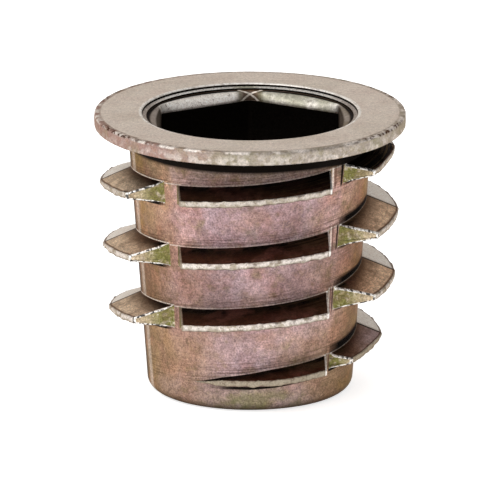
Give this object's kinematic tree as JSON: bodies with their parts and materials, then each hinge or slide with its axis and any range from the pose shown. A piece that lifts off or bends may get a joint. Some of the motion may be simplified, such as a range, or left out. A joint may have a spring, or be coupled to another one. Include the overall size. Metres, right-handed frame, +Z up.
{
  "type": "threaded insert",
  "caption": "Flanged die-cast insert for wood: hexagon drive in the flange, tapered barrel with a coarse interrupted outer thread, and a metric tapped bore.",
  "frame": {"origin": "centre of the lower end face, on the axis of the bore", "axes": "+Z up the bore's axis to the flange; +X normal to a flat of the hexagon drive; -Y faces the viewer"},
  "size_m": [0.0176, 0.0176, 0.016],
  "materials": {
    "zinc_chromate": "yellow chromate conversion coat on die-cast zinc alloy, dull satin"
  },
  "bodies": {
    "root": {"insert": "zinc_chromate"}
  },
  "joints": []
}
